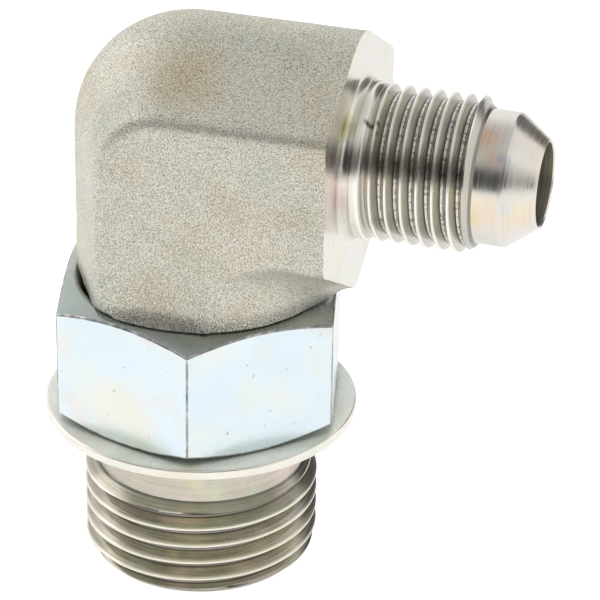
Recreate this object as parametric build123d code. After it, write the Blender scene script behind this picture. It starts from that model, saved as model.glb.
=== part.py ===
from build123d import *
from math import cos, radians, sqrt, tan
import os

# Hydraulic elbow adapter: a 90 degree forged elbow with a 37 degree flare end and an
# adjustable straight thread stud end, which carries a lock nut and a backup washer.
# Millimetres. The origin is the centre of the stud's end face. +Z runs up the stud's axis,
# +X runs out along the flare end, and the XZ plane is the plane of the elbow.
# Both threads are plain at their major diameter, with their true chamfers and reliefs.

# Stud end, 7/8-14 UNF
stud_thread_diameter = 22.225
stud_bore_diameter = 12.3
stud_thread_length = 8.9
stud_end_chamfer = 1.1
relief_diameter = 19.8
relief_length = 6.5
relief_cone_length = 1.0

# Backup washer, just under the shoulder at the top of the relief
washer_shoulder_gap = 0.35
washer_thickness = 1.0
washer_bore_clearance = 0.08
washer_ring_width = 4.72
washer_edge_bevel = 0.2

# Lock nut
nut_width_across_flats = 25.4
nut_height = 12.7
nut_face_diameter = 24.2
nut_chamfer_angle = 25
nut_countersink_diameter = 23.2
nut_thread_clearance = 0.08
nut_washer_gap = 0.05
nut_turn_angle = -76.8

# Forged elbow, measured from its foot above the nut
flare_axis_rise = 13.75
body_width = 22.7
body_slope_angle = 30
body_slope_distance = 11.1
body_inner_slope_distance = 11.4
body_ridge_radius = 5.4
body_inner_ridge_radius = 2.0
body_edge_radius = 1.6
end_face_distance = 14.9
body_nut_gap = 0.15
body_foot_overhang = 0.85
body_foot_bevel = 1.5
body_foot_flare = 0.9
drill_point_angle = 59

# Flare end, 9/16-18 UNF
flare_thread_diameter = 14.288
flare_bore_diameter = 7.54
flare_shank_length = 10.88
flare_root_fillet = 0.8
flare_pilot_diameter = 12.12
flare_pilot_length = 2.3
flare_cone_angle = 37
flare_rim_diameter = 7.9
flare_rim_chamfer = 0.2

# Heights up the stud, from its end face, and the round foot's radius
relief_bottom = stud_thread_length + relief_cone_length
relief_top = relief_bottom + relief_length
washer_seat_height = relief_top - washer_shoulder_gap - washer_thickness
nut_seat_height = washer_seat_height + washer_thickness + nut_washer_gap
body_foot_height = nut_seat_height + nut_height + body_nut_gap
flare_axis_height = body_foot_height + flare_axis_rise
body_foot_radius = body_width / 2 + body_foot_overhang


def outline(points):
    return make_face(Polyline(*points, close=True))


def turned(points, height=0.0):
    """A turned solid about the stud's axis, from (radius, height) points."""
    return Pos(0, 0, height) * revolve(Plane.XZ * outline(points), Axis.Z)


def body_section():
    """The forging's section: flat sides, sloped roofs and rounded ridges. X is outward."""
    half_width = body_width / 2
    lean = radians(body_slope_angle)
    ridges = [distance / cos(lean) for distance in (body_slope_distance, body_inner_slope_distance)]
    shoulders = [ridge - half_width * tan(lean) for ridge in ridges]
    points = [
        (ridges[0], 0),
        (shoulders[0], half_width),
        (-shoulders[1], half_width),
        (-ridges[1], 0),
        (-shoulders[1], -half_width),
        (shoulders[0], -half_width),
    ]
    face = outline(points)
    outer_ridge = face.vertices().sort_by(Axis.X)[-1]
    face = fillet(outer_ridge, body_ridge_radius)
    inner_ridge = face.vertices().sort_by(Axis.X)[0]
    face = fillet(inner_ridge, body_inner_ridge_radius)
    sides = [v for v in face.vertices() if abs(abs(v.Y) - half_width) < 1e-6]
    return fillet(sides, body_edge_radius)


def half_section():
    """The outer half of the body's section, on the side of +X."""
    reach = 2 * body_width
    return body_section() & Pos(reach / 2, 0) * Rectangle(reach, reach)


def horizontal_leg():
    """The leg that ends in the machined face round the flare end."""
    across = Plane(origin=(0, 0, flare_axis_height), x_dir=(0, 0, 1), z_dir=(1, 0, 0))
    return extrude(across * body_section(), end_face_distance)


def outer_corner():
    """The quarter turn that carries the outer half of the section round the elbow."""
    upward = Plane(origin=(0, 0, flare_axis_height), x_dir=(0, 0, 1), z_dir=(1, 0, 0))
    bend = Axis((0, 0, flare_axis_height), (0, -1, 0))
    return revolve(upward * half_section(), bend, 90)


def vertical_leg():
    """The leg above the nut: the section outside, and round between its flats inside."""
    outer = Plane(origin=(0, 0, body_foot_height), x_dir=(-1, 0, 0), z_dir=(0, 0, 1))
    length = flare_axis_height - body_foot_height
    reach = 2 * body_width
    round_side = Circle(body_foot_radius) & Pos(reach / 2, 0) * Rectangle(reach, body_width)
    leg = extrude(outer * half_section(), length)
    leg += extrude(Pos(0, 0, body_foot_height) * round_side, length)
    return leg + foot_flare() - foot_bevel()


def foot_flare():
    """The round foot, which stands a little proud of the flats."""
    foot = body_foot_radius
    points = [(0, 0), (foot, 0), (foot - body_foot_flare, body_foot_flare), (0, body_foot_flare)]
    past_flats = sqrt(foot ** 2 - (body_width / 2) ** 2)
    clear = Pos(0, 0, body_foot_height) * Box(2 * past_flats, 2 * body_width, 2 * body_foot_flare)
    return turned(points, body_foot_height) & clear


def foot_bevel():
    """The ring turned off the forging's corners just above the nut."""
    inner = body_foot_radius
    outer = inner + body_foot_bevel
    points = [(inner, 0), (outer, body_foot_bevel), (2 * outer, body_foot_bevel), (2 * outer, 0)]
    return turned(points, body_foot_height)


def stud():
    """The turned stud: end chamfer, thread, relief and the upper thread for the nut."""
    thread = stud_thread_diameter / 2
    relief = relief_diameter / 2
    points = [
        (0, 0),
        (thread - stud_end_chamfer, 0),
        (thread, stud_end_chamfer),
        (thread, stud_thread_length),
        (relief, relief_bottom),
        (relief, relief_top),
        (thread, relief_top + thread - relief),
        (thread, body_foot_height + body_foot_bevel),
        (0, body_foot_height + body_foot_bevel),
    ]
    return turned(points)


def flare_end():
    """The turned flare end: filleted shank, thread, chamfer, pilot and 37 degree nose."""
    thread = flare_thread_diameter / 2
    pilot = flare_pilot_diameter / 2
    rim = flare_rim_diameter / 2
    face = end_face_distance
    thread_end = face + flare_shank_length
    pilot_start = thread_end + thread - pilot
    cone_start = pilot_start + flare_pilot_length
    nose = cone_start + (pilot - rim) / tan(radians(flare_cone_angle))
    fillet_centre = (face + flare_root_fillet, thread + flare_root_fillet)
    root = CenterArc(fillet_centre, flare_root_fillet, 180, 90)
    edge = Polyline(
        root @ 1,
        (thread_end, thread),
        (pilot_start, pilot),
        (cone_start, pilot),
        (nose, rim),
        (nose, 0),
        (0, 0),
        (0, thread),
        (face, thread + flare_root_fillet),
    )
    profile = Plane.XZ * Pos(0, flare_axis_height) * make_face(root + edge)
    return revolve(profile, Axis((0, 0, flare_axis_height), (1, 0, 0))), nose


def passage(nose):
    """Both drilled bores, which meet where the axes cross."""
    stud_bore = stud_bore_diameter / 2
    bore = flare_bore_diameter / 2
    depth = flare_axis_height + bore
    tip = depth + stud_bore / tan(radians(drill_point_angle))
    upright = turned([(0, 0), (stud_bore, 0), (stud_bore, depth), (0, tip)])
    along = Plane(origin=(0, 0, flare_axis_height), x_dir=(0, 0, 1), z_dir=(1, 0, 0))
    level = extrude(along * Circle(bore), nose)
    mouth = along.offset(nose - flare_rim_chamfer)
    rim_cut = loft([mouth * Circle(bore), along.offset(nose) * Circle(bore + flare_rim_chamfer)])
    return upright + level + rim_cut


def elbow_body():
    flare, nose = flare_end()
    forging = horizontal_leg() + outer_corner() + vertical_leg()
    return forging + stud() + flare - passage(nose)


def lock_nut():
    """A plain hex nut with both faces chamfered, and a countersink at each end of its bore."""
    bore = stud_thread_diameter / 2 + nut_thread_clearance
    sink = nut_countersink_diameter / 2
    face = nut_face_diameter / 2
    slope = tan(radians(nut_chamfer_angle))
    reach = nut_width_across_flats
    drop = (reach - face) * slope
    hexagon = RegularPolygon(nut_width_across_flats / 2, 6, major_radius=False)
    blank = extrude(Rot(0, 0, nut_turn_angle) * hexagon, nut_height)
    chamfered = turned([(0, 0), (face, 0), (reach, drop), (reach, nut_height - drop),
                        (face, nut_height), (0, nut_height)])
    hole = turned([(0, 0), (sink, 0), (bore, sink - bore), (bore, nut_height - sink + bore),
                   (sink, nut_height), (0, nut_height)])
    return Pos(0, 0, nut_seat_height) * ((blank & chamfered) - hole)


def backup_washer():
    """A flat turned ring, loose in the stud's relief under the nut."""
    inner = relief_diameter / 2 + washer_bore_clearance
    outer = inner + washer_ring_width
    ring = Cylinder(outer, washer_thickness, align=(Align.CENTER, Align.CENTER, Align.MIN))
    ring -= Cylinder(inner, washer_thickness, align=(Align.CENTER, Align.CENTER, Align.MIN))
    rim = [e for e in ring.edges().filter_by(GeomType.CIRCLE) if e.radius > outer - 1e-6]
    return Pos(0, 0, washer_seat_height) * chamfer(rim, washer_edge_bevel)


nodes = {
    "elbow_body": elbow_body(),
    "lock_nut": lock_nut(),
    "backup_washer": backup_washer(),
}

os.makedirs("parts", exist_ok=True)
for name, shape in nodes.items():
    shape.label = name
    export_step(shape, f"parts/{name}.step")
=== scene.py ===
import bmesh
import bpy
import math
import numpy as np
from mathutils import Matrix, Vector


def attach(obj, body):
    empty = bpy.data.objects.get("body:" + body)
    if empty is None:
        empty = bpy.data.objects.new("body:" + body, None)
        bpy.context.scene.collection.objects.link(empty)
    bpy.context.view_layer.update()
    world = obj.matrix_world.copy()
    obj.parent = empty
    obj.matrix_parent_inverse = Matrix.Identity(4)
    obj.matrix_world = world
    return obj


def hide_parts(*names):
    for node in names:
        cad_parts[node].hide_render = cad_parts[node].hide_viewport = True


# Looks of a hydraulic elbow adapter. The shapes below are worked out in millimetres,
# in the CAD model's frame, and turned into metres when a mesh is made.

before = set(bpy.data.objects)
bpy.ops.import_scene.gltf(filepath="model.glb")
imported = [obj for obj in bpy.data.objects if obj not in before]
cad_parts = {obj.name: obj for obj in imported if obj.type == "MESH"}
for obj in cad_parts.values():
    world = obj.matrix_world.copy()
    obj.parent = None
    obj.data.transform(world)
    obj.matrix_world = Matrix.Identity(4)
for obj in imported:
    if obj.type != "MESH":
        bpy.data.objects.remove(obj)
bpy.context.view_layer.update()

MM = 0.001

# The forging: heights, how far its faces are from the middle of the section, and radii
AXIS_HEIGHT = 42.7
FOOT = 28.95
END_FACE = 14.9
HALF_WIDTH = 11.35
SLOPE_DISTANCE = 11.1
INNER_SLOPE_DISTANCE = 11.4
OUTER_RIDGE = 5.4
INNER_RIDGE = 2.0
SHOULDER = 1.6
FOOT_RADIUS = 12.2
DRILL_ANGLE = 59

# Fillets under the leg and over the foot, where the foot stands proud of the flats (to each
# side of x = 0, and up from its edge), and a distance that is outside everything
LEG_BLEND = 3.2
FOOT_BLEND = 0.7
FOOT_REACH = 4.6
FOOT_BAND = 4
FAR = 9.0
WAVE_HEIGHT = 0.018

# The stud end, by height above its end face
STUD_RADIUS = 11.1125
STUD_BORE = 6.15
STUD_CHAMFER = 1.1
STUD_PITCH = 25.4 / 14
STUD_CREST = 7.50 + STUD_PITCH * 73.8 / 360
RELIEF_RADIUS = 9.9
RELIEF_BOTTOM = 9.9
RELIEF_TOP = 16.4
RELIEF_CONE_SLOPE = 1.2125

# The flare end, by distance from the stud's axis
FLARE_RADIUS = 7.144
FLARE_BORE = 3.77
FLARE_FILLET = 0.8
FLARE_PITCH = 25.4 / 18
FLARE_CREST = 17.33
FLARE_THREAD_START = 15.9
FLARE_THREAD_END = 26.64
FLARE_CHAMFER_SLOPE = 1.3
PILOT_RADIUS = 6.06
CONE_START = 29.16
CONE_SLOPE = math.tan(math.radians(37))
NOSE = 31.94
FLARE_MOUTH = NOSE - 0.16

# The nut, with how far its corners and edges are eased, and the washer
NUT_LOW, NUT_HIGH, NUT_FLAT = 16.1, 28.8, 12.7
NUT_FACE, NUT_SINK = 12.1, 11.6
NUT_ANGLE = math.radians(-76.8)
NUT_SLOPE = math.tan(math.radians(25))
NUT_CORNER, NUT_EDGE = 0.22, 0.16
THREAD_CLEARANCE = 0.08
WASHER_LOW, WASHER_HIGH = 15.05, 16.05
WASHER_BORE, WASHER_RADIUS = 9.98, 14.7

# Columns round each turned end
STUD_COLUMNS = 144
FLARE_COLUMNS = 120


def mesh_object(name, verts, faces, slots=None):
    """A mesh in metres from corners in millimetres."""
    mesh = bpy.data.meshes.new(name)
    mesh.from_pydata([tuple(v) for v in np.asarray(verts) * MM], [], [tuple(f) for f in faces])
    if slots is not None:
        mesh.polygons.foreach_set("material_index", np.asarray(slots, dtype=np.int32))
    obj = bpy.data.objects.new(name, mesh)
    bpy.context.scene.collection.objects.link(obj)
    return obj


class Patches:
    """Grids and triangles that are gathered into one mesh."""

    def __init__(self):
        self.verts, self.faces, self.slots, self.count = [], [], [], 0

    def add(self, verts, faces, slots):
        verts = np.asarray(verts, dtype=float).reshape(-1, 3)
        self.verts.append(verts)
        self.faces += [tuple(int(i) + self.count for i in f) for f in faces]
        self.slots += np.broadcast_to(slots, len(faces)).tolist()
        self.count += len(verts)

    def grid(self, points, slot):
        """points has the shape (rows, columns, 3). slot is one number, or one for each column."""
        rows, columns = points.shape[:2]
        ids = np.arange(rows * columns).reshape(rows, columns)
        quads = np.stack([ids[:-1, :-1], ids[:-1, 1:], ids[1:, 1:], ids[1:, :-1]], axis=-1)
        slots = np.broadcast_to(slot, (rows - 1, columns - 1)).reshape(-1)
        self.add(points, quads.reshape(-1, 4).tolist(), slots)

    def build(self, name, merge=0.003):
        obj = mesh_object(name, np.concatenate(self.verts), self.faces, self.slots)
        work = bmesh.new()
        work.from_mesh(obj.data)
        bmesh.ops.remove_doubles(work, verts=work.verts, dist=merge * MM)
        bmesh.ops.recalc_face_normals(work, faces=work.faces)
        work.to_mesh(obj.data)
        work.free()
        return obj


def about_stud(angle, radius, height):
    return np.stack([radius * np.cos(angle), radius * np.sin(angle), height], axis=-1)


def about_flare(angle, radius, along):
    """Angles run from the top, towards the front, to the bottom."""
    return np.stack([along, -radius * np.sin(angle), AXIS_HEIGHT + radius * np.cos(angle)], axis=-1)


def lathe(patches, profile, columns, place, slot):
    """A turned surface through (radius, position) points."""
    angle = np.linspace(0, 2 * np.pi, columns + 1)
    profile = np.asarray(profile, dtype=float)
    radius = np.repeat(profile[:, :1], columns + 1, axis=1)
    along = np.repeat(profile[:, 1:], columns + 1, axis=1)
    patches.grid(place(np.repeat(angle[None], len(profile), axis=0), radius, along), slot)


THREAD_ROWS = (-0.0625, -0.045, 0.045, 0.0625, 0.15, 0.24, 0.33, 0.395, 0.417, 0.46,
               0.5, 0.54, 0.583, 0.605, 0.67, 0.76, 0.85)
THREAD_DEPTH = 0.6134


def thread(patches, pitch, crest, start, end, limit, depth_scale, columns, place, slot):
    """A right-hand thread. crest is a crest's position at angle 0, and limit gives the
    largest radius at a position. depth_scale fades the groove out at the ends."""
    angle = np.linspace(0, 2 * np.pi, columns + 1)
    crest_line = crest + pitch * angle / (2 * np.pi)
    first = math.floor((start - crest - pitch) / pitch) - 1
    last = math.ceil((end - crest) / pitch) + 1
    rows = [crest_line + pitch * (turn + offset)
            for turn in range(first, last + 1) for offset in THREAD_ROWS]
    along = np.clip(np.array(rows), start, end)
    phase = np.mod((along - crest_line[None]) / pitch, 1.0)
    away = np.minimum(phase, 1 - phase)
    depth = np.clip((away - 0.0625) * math.sqrt(3), 0, THREAD_DEPTH) * pitch
    depth += 0.012 * pitch * np.clip((away - 0.03) / 0.0325, 0, 1)
    depth += 0.02 * pitch * np.clip((away - 0.417) / 0.083, 0, 1)
    radius = limit(along, depth * depth_scale(along))
    patches.grid(place(np.repeat(angle[None], len(rows), axis=0), radius, along), slot)


def ramp(value, low, high):
    t = np.clip((value - low) / (high - low), 0, 1)
    return t * t * (3 - 2 * t)


# The forging, as a distance function: negative inside

LEAN_COS, LEAN_SIN = math.cos(math.radians(30)), math.sin(math.radians(30))
LEAN_TAN = LEAN_SIN / LEAN_COS


def section_distance(out, side, slope, ridge):
    """The forging's section: out runs from the middle to the ridge, side to the flat."""
    distance = np.maximum(out * LEAN_COS + side * LEAN_SIN - slope, side - HALF_WIDTH)
    past = out - (slope - ridge) / LEAN_COS
    on_ridge = (past > 0) & (side < past * LEAN_TAN)
    distance = np.where(on_ridge, np.hypot(past, side) - ridge, distance)
    centre = HALF_WIDTH - SHOULDER
    past = out - (slope - SHOULDER - centre * LEAN_SIN) / LEAN_COS
    over = side - centre
    on_shoulder = (past > 0) & (over > past * LEAN_TAN)
    return np.where(on_shoulder, np.hypot(past, over) - SHOULDER, distance)


def join(a, b, radius):
    """The union of two distances, with a fillet."""
    inside = np.maximum(radius, np.minimum(a, b))
    return inside - np.hypot(np.maximum(radius - a, 0), np.maximum(radius - b, 0))


def forging_distance(p):
    """The whole forging, with faint waves on its skin."""
    x, y, z = p[..., 0], p[..., 1], p[..., 2]
    rise, side = z - AXIS_HEIGHT, np.abs(y)
    bend = np.where(rise > 0, np.hypot(x, rise), -x)
    out = np.where(x < 0, bend, rise)
    outer = section_distance(out, side, SLOPE_DISTANCE, OUTER_RIDGE)
    from_axis = np.hypot(x, y)
    leg = from_axis - FOOT_RADIUS
    under = section_distance(-rise, side, INNER_SLOPE_DISTANCE, INNER_RIDGE)
    crotch = np.maximum(join(under, leg, LEG_BLEND), side - HALF_WIDTH)
    bevel = (leg - (z - FOOT)) * math.sqrt(0.5)
    left = np.maximum(outer, np.where(rise < 0, bevel, -FAR))
    distance = np.where((x >= 0) & (rise <= 0), crotch, np.where(x < 0, left, outer))
    foot = np.maximum(leg, (leg + z - FOOT) * math.sqrt(0.5))
    foot = np.where(np.abs(x) < FOOT_REACH, foot, FAR)
    distance = np.where(z < FOOT + FOOT_BAND, join(distance, foot, FOOT_BLEND), distance)
    wave = (np.sin(0.9 * x + 1.1 * z) * np.sin(0.8 * y - 0.5 * z + 1)
            + 0.6 * np.sin(1.7 * y + 0.6 * x + 2) * np.sin(1.3 * z - 0.4 * x))
    return distance + WAVE_HEIGHT * (1.6 + wave)


def slope_of(function, p, step=0.02):
    parts = []
    for axis in range(3):
        shift = np.zeros(3)
        shift[axis] = step
        parts.append((function(p + shift) - function(p - shift)) / (2 * step))
    return np.stack(parts, axis=-1)


def surface_net(function, low, high, step):
    """Polygonises a distance function on a grid, one corner in each cell that it crosses."""
    axes = [np.arange(a, b + step, step) for a, b in zip(low, high)]
    grid = np.stack(np.meshgrid(*axes, indexing="ij"), axis=-1)
    value = function(grid)
    inside = value < 0
    shape = tuple(n - 1 for n in value.shape)
    total = np.zeros(shape + (3,))
    hits = np.zeros(shape)
    crossings = []
    for axis in range(3):
        a = [slice(None)] * 3
        b = [slice(None)] * 3
        a[axis], b[axis] = slice(None, -1), slice(1, None)
        a, b = tuple(a), tuple(b)
        cut = inside[a] != inside[b]
        index = np.argwhere(cut)
        v0, v1 = value[a][cut], value[b][cut]
        point = grid[a][cut] + (v0 / (v0 - v1))[:, None] * (grid[b][cut] - grid[a][cut])
        crossings.append((axis, index, inside[a][cut]))
        others = [n for n in range(3) if n != axis]
        for i in (0, -1):
            for j in (0, -1):
                cell = index.copy()
                cell[:, others[0]] += i
                cell[:, others[1]] += j
                good = np.all((cell >= 0) & (cell < np.array(shape)), axis=1)
                where = tuple(cell[good].T)
                np.add.at(total, where, point[good])
                np.add.at(hits, where, 1)
    used = hits > 0
    number = -np.ones(shape, dtype=np.int64)
    number[used] = np.arange(used.sum())
    verts = total[used] / hits[used][:, None]
    for _ in range(3):
        slope = slope_of(function, verts)
        verts -= slope * (function(verts) / np.maximum((slope ** 2).sum(-1), 0.2))[:, None]
    faces = []
    for axis, index, starts_inside in crossings:
        u, v = [n for n in range(3) if n != axis]
        corners = []
        for i, j in ((0, 0), (-1, 0), (-1, -1), (0, -1)):
            cell = index.copy()
            cell[:, u] += i
            cell[:, v] += j
            corners.append(cell)
        good = np.all([np.all((c >= 0) & (c < np.array(shape)), axis=1) for c in corners], axis=0)
        quad = np.stack([number[tuple(c[good].T)] for c in corners], axis=1)
        flip = starts_inside[good] != (axis == 1)
        quad[flip] = quad[flip][:, ::-1]
        faces += quad.tolist()
    return verts, faces


def open_ring(work, axis, position):
    """The open edges that lie on a plane."""
    return [e for e in work.edges
            if e.is_boundary and all(abs(v.co[axis] - position) < 1e-4 for v in e.verts)]


def forging(patches, slot_skin, slot_machined):
    """The forged elbow, cut by its end face and its foot, both closed round the turned ends."""
    step = 0.38
    verts, faces = surface_net(forging_distance, (-13.0, -12.4, 28.3), (16.0, 12.4, 55.5), step)
    obj = mesh_object("forging_work", verts, faces)
    work = bmesh.new()
    work.from_mesh(obj.data)
    bmesh.ops.scale(work, vec=(1000, 1000, 1000), verts=work.verts)
    for point, normal in (((END_FACE, 0, 0), (1, 0, 0)), ((0, 0, FOOT), (0, 0, -1))):
        geometry = work.verts[:] + work.edges[:] + work.faces[:]
        bmesh.ops.bisect_plane(work, geom=geometry, plane_co=point, plane_no=normal,
                               clear_outer=True, dist=1e-5)
    skin = set(work.faces)
    for axis, position, count, place, radius in (
            (0, END_FACE, FLARE_COLUMNS, about_flare, FLARE_RADIUS + FLARE_FILLET),
            (2, FOOT, STUD_COLUMNS, about_stud, STUD_RADIUS)):
        rim = open_ring(work, axis, position)
        angle = np.linspace(0, 2 * np.pi, count, endpoint=False)
        ring = place(angle, np.full(count, radius), np.full(count, position))
        inner = [work.verts.new(tuple(p)) for p in ring]
        edges = [work.edges.new((inner[i], inner[(i + 1) % count])) for i in range(count)]
        bmesh.ops.triangle_fill(work, use_beauty=True, edges=rim + edges)
    work.verts.index_update()
    points = [tuple(v.co) for v in work.verts]
    for slot, wanted in ((slot_skin, True), (slot_machined, False)):
        chosen = [f for f in work.faces if (f in skin) == wanted]
        patches.add(points if wanted else [], [], slot)
        start = patches.count - len(points)
        patches.faces += [tuple(v.index + start for v in f.verts) for f in chosen]
        patches.slots += [slot] * len(chosen)
    work.free()
    bpy.data.objects.remove(obj)


def passage(patches, slot):
    """The walls of both drilled bores, which meet where the axes cross."""
    def drum(name, columns, place, radius, start, end, tip):
        parts = Patches()
        lathe(parts, [(0, start), (radius, start), (radius, end), (0, tip)], columns, place, 0)
        return parts.build(name)
    depth = AXIS_HEIGHT + FLARE_BORE
    upright = drum("upright_work", STUD_COLUMNS, about_stud, STUD_BORE, 0.0, depth,
                   depth + STUD_BORE / math.tan(math.radians(DRILL_ANGLE)))
    level = drum("level_work", FLARE_COLUMNS, about_flare, FLARE_BORE, 0.0, FLARE_MOUTH, FLARE_MOUTH)
    union = upright.modifiers.new("union", "BOOLEAN")
    union.operation, union.solver, union.object = "UNION", "EXACT", level
    bpy.context.view_layer.update()
    made = upright.evaluated_get(bpy.context.evaluated_depsgraph_get()).to_mesh()
    verts = np.array([v.co for v in made.vertices]) * 1000
    faces = []
    for polygon in made.polygons:
        corners = verts[list(polygon.vertices)]
        at_foot = np.all(np.abs(corners[:, 2]) < 1e-3)
        at_mouth = np.all(np.abs(corners[:, 0] - FLARE_MOUTH) < 1e-3)
        if not at_foot and not at_mouth:
            faces.append(tuple(polygon.vertices))
    patches.add(verts, faces, slot)
    for obj in (upright, level):
        bpy.data.objects.remove(obj)


def flare_end(patches, slot_thread, slot_turned):
    """Root fillet, neck, thread, pilot, cone and rim."""
    fillet = [(FLARE_RADIUS + FLARE_FILLET - FLARE_FILLET * math.sin(t),
               END_FACE + FLARE_FILLET - FLARE_FILLET * math.cos(t))
              for t in np.linspace(0, math.pi / 2, 9)]
    neck = [(FLARE_RADIUS, FLARE_THREAD_START - 0.1), (FLARE_RADIUS, FLARE_THREAD_START)]
    lathe(patches, fillet + neck, FLARE_COLUMNS, about_flare, slot_turned)

    def limit(along, depth):
        chamfer = PILOT_RADIUS + (FLARE_THREAD_END - along) * FLARE_CHAMFER_SLOPE
        return np.minimum(FLARE_RADIUS - depth, chamfer)

    def fade(along):
        return ramp(along, 16.0, 17.9)

    thread(patches, FLARE_PITCH, FLARE_CREST, FLARE_THREAD_START, FLARE_THREAD_END, limit, fade,
           FLARE_COLUMNS, about_flare, slot_thread)
    nose_radius = PILOT_RADIUS - (NOSE - CONE_START) * CONE_SLOPE
    profile = [(PILOT_RADIUS, FLARE_THREAD_END), (PILOT_RADIUS, FLARE_THREAD_END + 0.06),
               (PILOT_RADIUS, CONE_START - 0.16), (PILOT_RADIUS - 0.012, CONE_START - 0.07),
               (PILOT_RADIUS - 0.045, CONE_START + 0.03),
               (PILOT_RADIUS - 0.15 * CONE_SLOPE, CONE_START + 0.15)]
    profile += [(PILOT_RADIUS - t * CONE_SLOPE, CONE_START + t) for t in (0.8, 1.6, 2.3)]
    profile += [(nose_radius + 0.06, NOSE - 0.08), (nose_radius, NOSE - 0.02),
                (nose_radius - 0.03, NOSE), (FLARE_BORE + 0.12, NOSE - 0.01),
                (FLARE_BORE, FLARE_MOUTH)]
    lathe(patches, profile, FLARE_COLUMNS, about_flare, slot_turned)


def stud_end(patches, slot_thread, slot_turned):
    """Foot, lower thread, relief and upper thread."""
    foot = STUD_RADIUS - STUD_CHAMFER
    start, end = 0.08, FOOT - 0.02
    rim = [(STUD_BORE, 0), (STUD_BORE + 0.2, 0), (foot - 0.1, 0), (foot, 0.02), (foot + 0.06, start)]
    lathe(patches, rim, STUD_COLUMNS, about_stud, slot_turned)

    def lower_limit(along, depth):
        radius = np.minimum(STUD_RADIUS - depth, foot + along - 0.02)
        return np.minimum(radius, RELIEF_RADIUS + (RELIEF_BOTTOM - along) * RELIEF_CONE_SLOPE)

    def upper_limit(along, depth):
        return np.minimum(STUD_RADIUS - depth, RELIEF_RADIUS + (along - RELIEF_TOP))

    def lower_fade(along):
        return ramp(along, start, 0.5)

    def upper_fade(along):
        return 1 - ramp(along, 27.4, 28.9)

    thread(patches, STUD_PITCH, STUD_CREST, start, RELIEF_BOTTOM, lower_limit, lower_fade,
           STUD_COLUMNS, about_stud, slot_thread)
    relief = [(RELIEF_RADIUS, z) for z in (RELIEF_BOTTOM, 9.95, 10.6, 12.5, 16.0, RELIEF_TOP)]
    lathe(patches, relief, STUD_COLUMNS, about_stud, slot_turned)
    thread(patches, STUD_PITCH, STUD_CREST, RELIEF_TOP, end, upper_limit, upper_fade,
           STUD_COLUMNS, about_stud, slot_thread)
    collar = [(STUD_RADIUS, end), (STUD_RADIUS, FOOT)]
    lathe(patches, collar, STUD_COLUMNS, about_stud, slot_thread)
def lock_nut(slot_face, slot_flat, slot_bore, slot_edge):
    """The hex nut, column by column, so its chamfer arcs are crisp."""
    soft = NUT_CORNER
    centre = (NUT_FLAT - soft) / LEAN_COS
    touch = math.atan(soft * LEAN_SIN / (centre + soft * LEAN_COS))
    steps = [0, touch / 3, touch * 2 / 3, touch]
    steps += [math.radians(a) for a in (1.2, 3, 6, 10, 14, 18, 22, 26, 30)]
    turn = sorted(set([-s for s in steps] + steps))
    offset = np.array([math.radians(60 * k) + s for k in range(6) for s in turn[:-1]])
    offset = np.append(offset, offset[0] + 2 * math.pi)
    corner = np.mod(offset + math.radians(30), math.radians(60)) - math.radians(30)
    plain = NUT_FLAT / np.cos(math.radians(30) - np.abs(corner))
    arc = centre * np.cos(corner) + np.sqrt(np.maximum(soft ** 2 - (centre * np.sin(corner)) ** 2, 0))
    hexagon = np.where(np.abs(corner) <= touch + 1e-9, arc, plain)
    face, sink, bore = NUT_FACE, NUT_SINK, STUD_RADIUS + THREAD_CLEARANCE
    drop = (hexagon - face) * NUT_SLOPE
    ease = NUT_EDGE
    on_corner = (np.abs(corner[:-1]) <= touch + 1e-9) & (np.abs(corner[1:]) <= touch + 1e-9)

    def side(level, sign):
        """Rows from the bore to the chamfer's arc, on one face."""
        rows = [(np.full_like(hexagon, bore), level - sign * 2.0),
                (np.full_like(hexagon, bore), level - sign * (sink - bore)),
                (np.full_like(hexagon, sink - 0.04), level - sign * 0.04),
                (np.full_like(hexagon, sink + 0.03), level),
                (np.full_like(hexagon, face - 0.08), level),
                (np.full_like(hexagon, face + 0.02), level - sign * 0.02)]
        rows += [(face + (hexagon - face) * 0.5, level - sign * drop * 0.5),
                 (hexagon - ease, level - sign * (drop - ease * NUT_SLOPE)),
                 (hexagon - 0.028, level - sign * (drop + 0.012)),
                 (hexagon, level - sign * (drop + ease))]
        return [(r, z if np.ndim(z) else np.full_like(hexagon, z)) for r, z in rows]

    low, high = side(NUT_LOW, -1), side(NUT_HIGH, 1)
    middle = [(hexagon, low[-1][1] + (high[-1][1] - low[-1][1]) * t) for t in (0.25, 0.5, 0.75)]
    angle = NUT_ANGLE + offset
    patches = Patches()

    def strip(rows, slot):
        points = [about_stud(angle, r, z) for r, z in rows]
        patches.grid(np.array(points), slot)

    strip(low[:4], slot_bore)
    strip(low[3:8], slot_face)
    strip(low[7:], slot_edge)
    strip([low[-1]] + middle + [high[-1]], np.where(on_corner, slot_edge, slot_flat))
    strip(high[:6:-1], slot_edge)
    strip(high[7:2:-1], slot_face)
    strip(high[3::-1] + [low[0]], slot_bore)
    return patches.build("lock_nut_detail")


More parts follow.
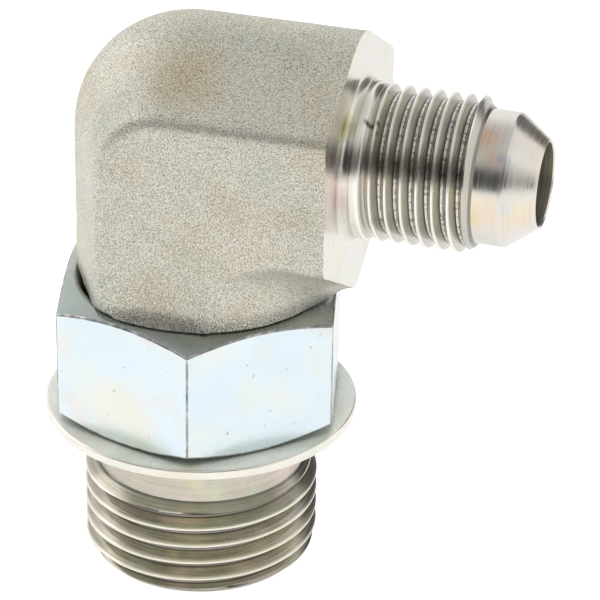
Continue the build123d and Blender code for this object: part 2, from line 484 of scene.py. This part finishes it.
def backup_washer(slot_face, slot_rim):
    """The flat ring, with eased edges at its bore and a round rim."""
    low, high, inner, outer = WASHER_LOW, WASHER_HIGH, WASHER_BORE, WASHER_RADIUS
    middle = 15.5
    soft = 0.2
    under = [(inner, middle), (inner, low + 0.12), (inner + 0.04, low + 0.04), (inner + 0.12, low),
             (outer - 1.0, low), (outer - soft, low)]
    rim = [(outer - soft + soft * math.sin(t), low + soft - soft * math.cos(t))
           for t in np.linspace(0, math.pi / 2, 6)]
    rim += [(outer - soft + soft * math.cos(t), high - soft + soft * math.sin(t))
            for t in np.linspace(0, math.pi / 2, 6)]
    top = [(outer - soft, high), (outer - 1.0, high), (inner + 0.12, high),
           (inner + 0.04, high - 0.04), (inner, high - 0.12), (inner, middle)]
    patches = Patches()
    for rows, slot in ((under, slot_face), (rim, slot_rim), (top, slot_face)):
        lathe(patches, rows, 192, about_stud, slot)
    return patches.build("backup_washer_detail")


# Materials

class Nodes:
    """A few words for building the nodes of a material or a world. Textures follow place."""

    def __init__(self, owner, output, place):
        owner.use_nodes = True
        self.owner = owner
        self.tree = owner.node_tree
        self.tree.nodes.clear()
        self.output = self.tree.nodes.new(output)
        self.place = self.tree.nodes.new("ShaderNodeTexCoord").outputs[place]

    def node(self, kind, inputs=(), **settings):
        made = self.tree.nodes.new(kind)
        for key, value in settings.items():
            setattr(made, key, value)
        for key, value in dict(inputs).items():
            self.put(made.inputs[key], value)
        return made

    def put(self, socket, value):
        if isinstance(value, bpy.types.NodeSocket):
            self.tree.links.new(value, socket)
        else:
            socket.default_value = value

    def noise(self, scale, detail=2.0, rough=0.5, vector=None, distortion=0.0):
        made = self.node("ShaderNodeTexNoise", {
            "Vector": vector or self.place, "Scale": scale, "Detail": detail,
            "Roughness": rough, "Distortion": distortion})
        return made.outputs["Fac"]

    def math(self, operation, a, b=0.0):
        return self.node("ShaderNodeMath", {0: a, 1: b}, operation=operation).outputs[0]

    def spread(self, value, low, high, to_low=0.0, to_high=1.0):
        made = self.node("ShaderNodeMapRange", {
            "Value": value, "From Min": low, "From Max": high,
            "To Min": to_low, "To Max": to_high}, interpolation_type="SMOOTHSTEP")
        return made.outputs["Result"]

    def mix(self, factor, a, b, blend="MIX"):
        made = self.node("ShaderNodeMix", data_type="RGBA", blend_type=blend)
        for socket, value in zip((made.inputs[0], made.inputs[6], made.inputs[7]), (factor, a, b)):
            self.put(socket, value)
        return made.outputs[2]

    def bump(self, height, distance, strength=1.0, normal=None):
        inputs = {"Height": height, "Distance": distance, "Strength": strength}
        if normal is not None:
            inputs["Normal"] = normal
        return self.node("ShaderNodeBump", inputs).outputs[0]

    def parts(self, vector):
        return self.node("ShaderNodeSeparateXYZ", {0: vector}).outputs

    def vector(self, x=0.0, y=0.0, z=0.0):
        return self.node("ShaderNodeCombineXYZ", {0: x, 1: y, 2: z}).outputs[0]


def surface(name):
    """The nodes of a new material, with one Principled shader."""
    n = Nodes(bpy.data.materials.new(name), "ShaderNodeOutputMaterial", "Object")
    n.shader = n.node("ShaderNodeBsdfPrincipled")
    n.put(n.output.inputs[0], n.shader.outputs[0])
    return n

def rgb(red, green, blue):
    """A colour from 0 to 255, as the linear values that Blender wants."""
    def linear(c):
        c /= 255
        return c / 12.92 if c <= 0.04045 else ((c + 0.055) / 1.055) ** 2.4
    return (linear(red), linear(green), linear(blue), 1.0)


def iridescence(n, base, tints, amount, scale=170):
    """Faint patches of three tints, as passivated zinc shows them."""
    where = n.noise(scale, 3.0, 0.6)
    colour = n.mix(n.spread(where, 0.5, 0.68, 0, amount), base, tints[0])
    colour = n.mix(n.spread(where, 0.5, 0.32, 0, amount), colour, tints[1])
    other = n.noise(scale * 0.7, 2.0, 0.5, distortion=0.6)
    return n.mix(n.spread(other, 0.52, 0.7, 0, amount), colour, tints[2])


ZINC_TINTS = (rgb(236, 214, 206), rgb(196, 207, 186), rgb(232, 222, 176))
SKIN_TINTS = (rgb(214, 196, 158), rgb(196, 204, 192), rgb(240, 232, 214))
EDGE_TINTS = (rgb(255, 252, 250), rgb(96, 94, 92), rgb(255, 250, 246))
PALE_TINTS = (rgb(252, 232, 226), rgb(222, 240, 255), rgb(255, 244, 214))


def colour_spots(n, base, spots):
    """Soft coloured spots, each at a place in millimetres, with a radius, a tint and an amount."""
    for place, radius, tint, amount in spots:
        away = n.node("ShaderNodeVectorMath", {0: n.place, 1: tuple(c * MM for c in place)},
                      operation="DISTANCE").outputs["Value"]
        edge = n.math("MULTIPLY", n.noise(2200 / (radius + 0.6), 3.0, 0.7), radius * 0.0008)
        ragged = n.math("ADD", away, edge)
        reach = radius * 0.0014
        base = n.mix(n.spread(ragged, reach, reach * 0.3, 0, amount), base, tint)
    return base


SKIN_STAINS = (
    ((0.7, -6.8, 51.6), 6.0, rgb(192, 170, 106), 0.75),
    ((-6.0, -9.5, 48.6), 4.5, rgb(160, 164, 154), 0.75),
    ((-4.0, -7.5, 51.0), 4.0, rgb(190, 186, 172), 0.5),
    ((10.6, -4.9, 52.7), 5.0, rgb(206, 194, 158), 0.35),
    ((-5.6, -12.5, 49.8), 5.0, rgb(182, 190, 178), 0.6),
    ((-1.1, -11.3, 31.4), 5.0, rgb(190, 174, 132), 0.5),
    ((2.7, -11.4, 36.8), 4.5, rgb(194, 184, 146), 0.4),
    ((12.7, -11.3, 41.5), 3.5, rgb(190, 180, 146), 0.4),
    ((-8.5, -7.5, 40.5), 6.0, rgb(244, 230, 224), 0.5),
)
# Stains on the turned flare end, and two dark grey spots of painted shade on its neck.
FLARE_STAINS_AND_SHADE = (
    ((27.1, -3.1, 47.9), 2.2, rgb(222, 168, 122), 0.6),
    ((28.1, -4.7, 46.6), 1.5, rgb(212, 170, 126), 0.6),
    ((29.0, -4.6, 46.7), 1.0, rgb(146, 160, 182), 0.6),
    ((26.8, -6.1, 41.5), 2.0, rgb(232, 214, 146), 0.7),
    ((28.1, -6.0, 42.2), 2.0, rgb(232, 202, 188), 0.55),
    ((30.6, -5.2, 41.7), 2.6, rgb(240, 214, 156), 0.5),
    ((29.5, -5.6, 42.6), 1.4, rgb(196, 210, 226), 0.6),
    ((14.9, -5.2, 48.0), 1.8, rgb(168, 156, 108), 0.85),
    # Painted shade: a dark grey spot on the neck's top left, by the root.
    ((15.9, -6.0, 45.7), 1.8, rgb(112, 108, 100), 0.75),
    ((16.2, -7.2, 40.6), 2.4, rgb(186, 178, 162), 0.7),
    ((15.2, -7.3, 41.9), 1.8, rgb(196, 166, 168), 0.6),
    # Painted shade: a dark grey spot on the neck's top left, by the root.
    ((15.3, -7.0, 44.7), 1.6, rgb(120, 116, 108), 0.7),
)


def nick(start, end):
    """A dark notch between two places on the flare thread."""
    start, end = np.array(start), np.array(end)
    places = [tuple(start + (end - start) * t) for t in (0, 0.33, 0.67, 1)]
    return [(place, 0.38, rgb(30, 29, 27), 1.0) for place in places]


FLARE_NICKS = (nick((16.44, -4.10, 48.25), (17.02, -4.39, 48.02))
               + nick((17.60, -4.20, 48.30), (18.60, -4.50, 47.80)))


def forged_skin():
    n = surface("forged_skin")
    base = iridescence(n, rgb(224, 220, 204), SKIN_TINTS, 0.55, 130)
    base = colour_spots(n, base, SKIN_STAINS)
    height = n.parts(n.place)[2]
    # Painted shade: the skin is darkened over the last 1.9 mm above the foot, where it meets the nut.
    foot_shade = n.spread(height, (FOOT + 1.9) * MM, (FOOT + 0.2) * MM, 0, 0.75)
    base = n.mix(foot_shade, base, rgb(92, 90, 82))
    grain = n.noise(7600, 3.0, 0.7)
    fine = n.noise(11000, 2.0, 0.6)
    specks = n.noise(3400, 3.0, 0.8)
    colour = n.mix(n.spread(specks, 0.42, 0.26, 0, 0.6), base, rgb(84, 78, 64))
    colour = n.mix(n.spread(grain, 0.54, 0.38, 0, 0.85), colour, rgb(104, 98, 80))
    colour = n.mix(n.spread(fine, 0.48, 0.6, 0, 0.75), colour, rgb(255, 253, 244))
    n.put(n.shader.inputs["Base Color"], colour)
    n.shader.inputs["Metallic"].default_value = 0.85
    n.put(n.shader.inputs["Roughness"], n.spread(grain, 0.3, 0.7, 0.58, 0.42))
    soft = n.bump(n.noise(420, 2.0, 0.5), 0.00008, 0.3)
    n.put(n.shader.inputs["Normal"], n.bump(grain, 0.00004, 0.8, soft))
    return n.owner


def turned(name, axis, colour, tint, roughness, thread_of=None, spots=()):
    """Turned steel. The tool marks run round the axis, 'x' for the flare end, 'z' for the stud.
    thread_of is a thread's radius and pitch in millimetres, the colour of the painted highlight
    on its crests and of the broken painted highlight line in its dark root, and where along the
    axis that line ends."""
    n = surface(name)
    x, y, z = n.parts(n.place)[:3]
    if axis == "x":
        along, across, up = x, y, n.math("SUBTRACT", z, AXIS_HEIGHT * MM)
    else:
        along, across, up = z, x, y
    squares = n.math("ADD", n.math("MULTIPLY", across, across), n.math("MULTIPLY", up, up))
    radius = n.math("SQRT", squares)
    rings = n.vector(n.math("MULTIPLY", along, 5200), n.math("MULTIPLY", radius, 5200),
                     n.math("MULTIPLY", across, 110))
    marks = n.noise(1.0, 3.0, 0.6, vector=rings)
    base = iridescence(n, colour, ZINC_TINTS, tint, 180)
    if thread_of:
        thread_radius, pitch, highlight_colour, line_end = thread_of
        top = thread_radius * MM
        root = (thread_radius - THREAD_DEPTH * pitch) * MM
        base = n.mix(n.spread(radius, root + 0.0002, root + 0.00002, 0, 0.7), base, rgb(58, 56, 50))
        # Painted highlight: a broken bright line along the bottom of the root, and bright crests, in
        # the highlight colour.
        broken = n.spread(n.noise(3400, 2.0, 0.6), 0.36, 0.52)
        middle = n.spread(radius, root - 0.000012, root - 0.000024, 0, 0.7)
        ends = n.spread(along, line_end * MM, (line_end - 0.1) * MM)
        line = n.math("MULTIPLY", n.math("MULTIPLY", middle, ends), broken)
        base = n.mix(line, base, highlight_colour)
        base = n.mix(n.spread(radius, top - 0.00022, top - 0.00006), base, highlight_colour)
    base = colour_spots(n, base, spots)
    n.put(n.shader.inputs["Base Color"], n.mix(n.spread(marks, 0.3, 0.7, 0.0, 0.25), base,
                                               rgb(255, 252, 246)))
    n.shader.inputs["Metallic"].default_value = 1.0
    n.put(n.shader.inputs["Roughness"], n.spread(marks, 0.3, 0.7, roughness - 0.05, roughness + 0.08))
    n.put(n.shader.inputs["Normal"], n.bump(marks, 0.000012, 0.5))
    return n.owner


def plated(name, colour, tints, tint, roughness, scale=160, metal=0.9):
    """Smooth bright zinc with faint patches and small pits."""
    n = surface(name)
    base = iridescence(n, colour, tints, tint, scale)
    pits = n.noise(1500, 2.0, 0.5)
    base = n.mix(n.spread(pits, 0.30, 0.22, 0, 0.5), base, rgb(110, 110, 105))
    n.put(n.shader.inputs["Base Color"], base)
    n.shader.inputs["Metallic"].default_value = metal
    n.put(n.shader.inputs["Roughness"], n.spread(n.noise(300, 3.0), 0.3, 0.7,
                                                 roughness - 0.06, roughness + 0.08))
    soft = n.bump(n.noise(260, 2.0), 0.00008, 0.25)
    n.put(n.shader.inputs["Normal"], n.bump(n.noise(2400, 3.0, 0.6), 0.00001, 0.4, soft))
    return n.owner


SKIN, THREAD_X, TURNED_X, THREAD_Z, TURNED_Z, BORE = range(6)
body_materials = [
    forged_skin(),
    # The third value of each thread_of is the colour of the painted highlight on its crests and in
    # its root.
    turned("flare_thread", "x", rgb(192, 189, 178), 0.2, 0.24,
           (FLARE_RADIUS, FLARE_PITCH, rgb(250, 247, 238), 25.9), FLARE_NICKS),
    turned("flare_turned", "x", rgb(224, 221, 213), 0.45, 0.22, spots=FLARE_STAINS_AND_SHADE),
    turned("stud_thread", "z", rgb(156, 151, 134), 0.2, 0.2,
           (STUD_RADIUS, STUD_PITCH, rgb(240, 234, 218), 0.0)),
    # Partly painted shade: the stud's turned steel is darker than the flare's, for the washer's
    # shadow on the relief, and partly its own warmer tint.
    turned("stud_turned_shaded", "z", rgb(196, 185, 170), 0.5, 0.26),
    turned("drilled_bore", "x", rgb(176, 173, 162), 0.1, 0.4),
]
nut_materials = [
    # Painted shade: the nut's chamfers and faces get a darker zinc than its flats, which keep the
    # pale zinc.
    plated("nut_chamfer_shaded", rgb(170, 179, 175), ZINC_TINTS, 0.15, 0.24),
    plated("nut_flats", rgb(234, 246, 250), PALE_TINTS, 0.5, 0.3, scale=150),
    plated("nut_bore", rgb(150, 150, 145), ZINC_TINTS, 0.1, 0.4),
    plated("nut_edge", rgb(168, 168, 168), EDGE_TINTS, 0.5, 0.35, scale=900),
]
washer_materials = [
    plated("washer_face", rgb(244, 250, 240), ZINC_TINTS, 0.3, 0.3, metal=0.15),
    plated("washer_rim", rgb(250, 246, 236), ZINC_TINTS, 0.2, 0.3)]

body_parts = Patches()
forging(body_parts, SKIN, TURNED_X)
flare_end(body_parts, THREAD_X, TURNED_X)
stud_end(body_parts, THREAD_Z, TURNED_Z)
passage(body_parts, BORE)
body = body_parts.build("elbow_body_detail")
nut = lock_nut(0, 1, 2, 3)
washer = backup_washer(0, 1)

for piece, materials, node, carrier, slot, angle in (
        (body, body_materials, "elbow_body", "elbow", "forged_steel", 38),
        (nut, nut_materials, "lock_nut", "nut", "nut_zinc", 50),
        (washer, washer_materials, "backup_washer", "washer", "washer_zinc", 50)):
    for material in materials:
        piece.data.materials.append(material)
    piece.data.shade_smooth()
    piece.data.set_sharp_from_angle(angle=math.radians(angle))
    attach(piece, carrier)
    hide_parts(node)


# Floor, light and camera

FLOOR_REACH = 4000
FLOOR_LEVEL = -0.05
WHITE = (1.0, 1.0, 1.0, 1.0)

# The direction of the dark corner behind
DARK_CORNER = (0.352, 0.886, 0.302)

# The fitted camera: turn, tilt and roll in radians, place in millimetres
CAMERA_ANGLES = (0.282, 0.485, 0.018)
CAMERA_PLACE = (78.738, -238.706, 158.419)
FOCAL_PIXELS = 3041.72
PHOTO_PIXELS = 600
SENSOR_WIDTH = 36


def pale_floor():
    corners = [(x * FLOOR_REACH, y * FLOOR_REACH, FLOOR_LEVEL)
               for x, y in ((-1, -1), (1, -1), (1, 1), (-1, 1))]
    floor = mesh_object("floor", corners, [(0, 1, 2, 3)])
    n = Nodes(bpy.data.materials.new("pale_floor"), "ShaderNodeOutputMaterial", "Object")
    seen = n.node("ShaderNodeLightPath").outputs
    mirrored = n.math("MAXIMUM", seen["Is Glossy Ray"], seen["Is Transmission Ray"])
    strength = n.math("ADD", n.math("MULTIPLY", mirrored, 0.38),
                      n.math("MULTIPLY", seen["Is Camera Ray"], 0.8))
    matt = n.node("ShaderNodeBsdfDiffuse", {"Color": (0.8, 0.8, 0.8, 1)}).outputs[0]
    glow = n.node("ShaderNodeEmission", {"Color": WHITE, "Strength": strength}).outputs[0]
    both = n.node("ShaderNodeAddShader", {0: matt, 1: glow}).outputs[0]
    n.put(n.output.inputs[0], both)
    floor.data.materials.append(n.owner)


def studio_world():
    """White to the camera. To all else it is darker in front, overhead and at one corner behind."""
    world = bpy.data.worlds.new("studio")
    bpy.context.scene.world = world
    w = Nodes(world, "ShaderNodeOutputWorld", "Generated")
    toward_back, height = w.parts(w.place)[1:3]
    horizon = w.spread(height, 0.0, 0.03)
    front = w.spread(w.math("MULTIPLY", toward_back, -1.0), 0.1, 0.6, 0.0, 0.92)
    front = w.math("MULTIPLY", front, w.spread(height, 0.45, 0.9, 1.0, 0.0))
    corner = w.node("ShaderNodeVectorMath", {0: w.place, 1: DARK_CORNER},
                    operation="DOT_PRODUCT").outputs["Value"]
    corner = w.spread(corner, 0.90, 0.96, 0.0, 0.85)
    overhead = w.spread(height, 0.5, 0.97, 1.0, 0.58)
    lit = w.math("MULTIPLY", w.math("SUBTRACT", 1.0, w.math("MULTIPLY", front, horizon)),
                 w.math("SUBTRACT", 1.0, corner))
    strength = w.math("MULTIPLY", lit, overhead)
    studio = w.node("ShaderNodeBackground", {"Color": WHITE, "Strength": strength}).outputs[0]
    plain = w.node("ShaderNodeBackground", {"Color": WHITE, "Strength": 1.0}).outputs[0]
    camera_ray = w.node("ShaderNodeLightPath").outputs["Is Camera Ray"]
    both = w.node("ShaderNodeMixShader", {0: camera_ray, 1: studio, 2: plain}).outputs[0]
    w.put(w.output.inputs[0], both)


def soft_light(name, place, aim, size, power, mirrored=True):
    data = bpy.data.lights.new(name, "AREA")
    data.shape, data.size, data.energy = "DISK", size, power
    lamp = bpy.data.objects.new(name, data)
    bpy.context.scene.collection.objects.link(lamp)
    lamp.location = place
    lamp.rotation_mode = "QUATERNION"
    lamp.rotation_quaternion = (Vector(aim) - Vector(place)).to_track_quat("-Z", "Y")
    lamp.visible_glossy = mirrored


def photo_camera():
    """The camera that was fitted to the photograph."""
    turn, tilt, roll = CAMERA_ANGLES
    back = Vector((math.sin(turn) * math.cos(tilt), -math.cos(turn) * math.cos(tilt), math.sin(tilt)))
    right = Vector((math.cos(turn), math.sin(turn), 0))
    up = back.cross(right)
    side = right * math.cos(roll) + up * math.sin(roll)
    top = up * math.cos(roll) - right * math.sin(roll)
    data = bpy.data.cameras.new("camera")
    data.sensor_width = SENSOR_WIDTH
    data.lens = FOCAL_PIXELS * SENSOR_WIDTH / PHOTO_PIXELS
    data.clip_start, data.clip_end = 0.01, 20
    camera = bpy.data.objects.new("camera", data)
    bpy.context.scene.collection.objects.link(camera)
    rows = [[side[i], top[i], back[i], CAMERA_PLACE[i] * MM] for i in range(3)]
    camera.matrix_world = Matrix(rows + [[0, 0, 0, 1]])
    bpy.context.scene.camera = camera


pale_floor()
studio_world()
soft_light("left", (-0.5, 0.0, 0.3), (0, 0, 0.03), 0.4, 0.3)
soft_light("fill", (0.1, -0.3, 0.62), (0, 0, 0.02), 0.4, 1.3, mirrored=False)
photo_camera()
bpy.context.scene.view_settings.view_transform = "Standard"
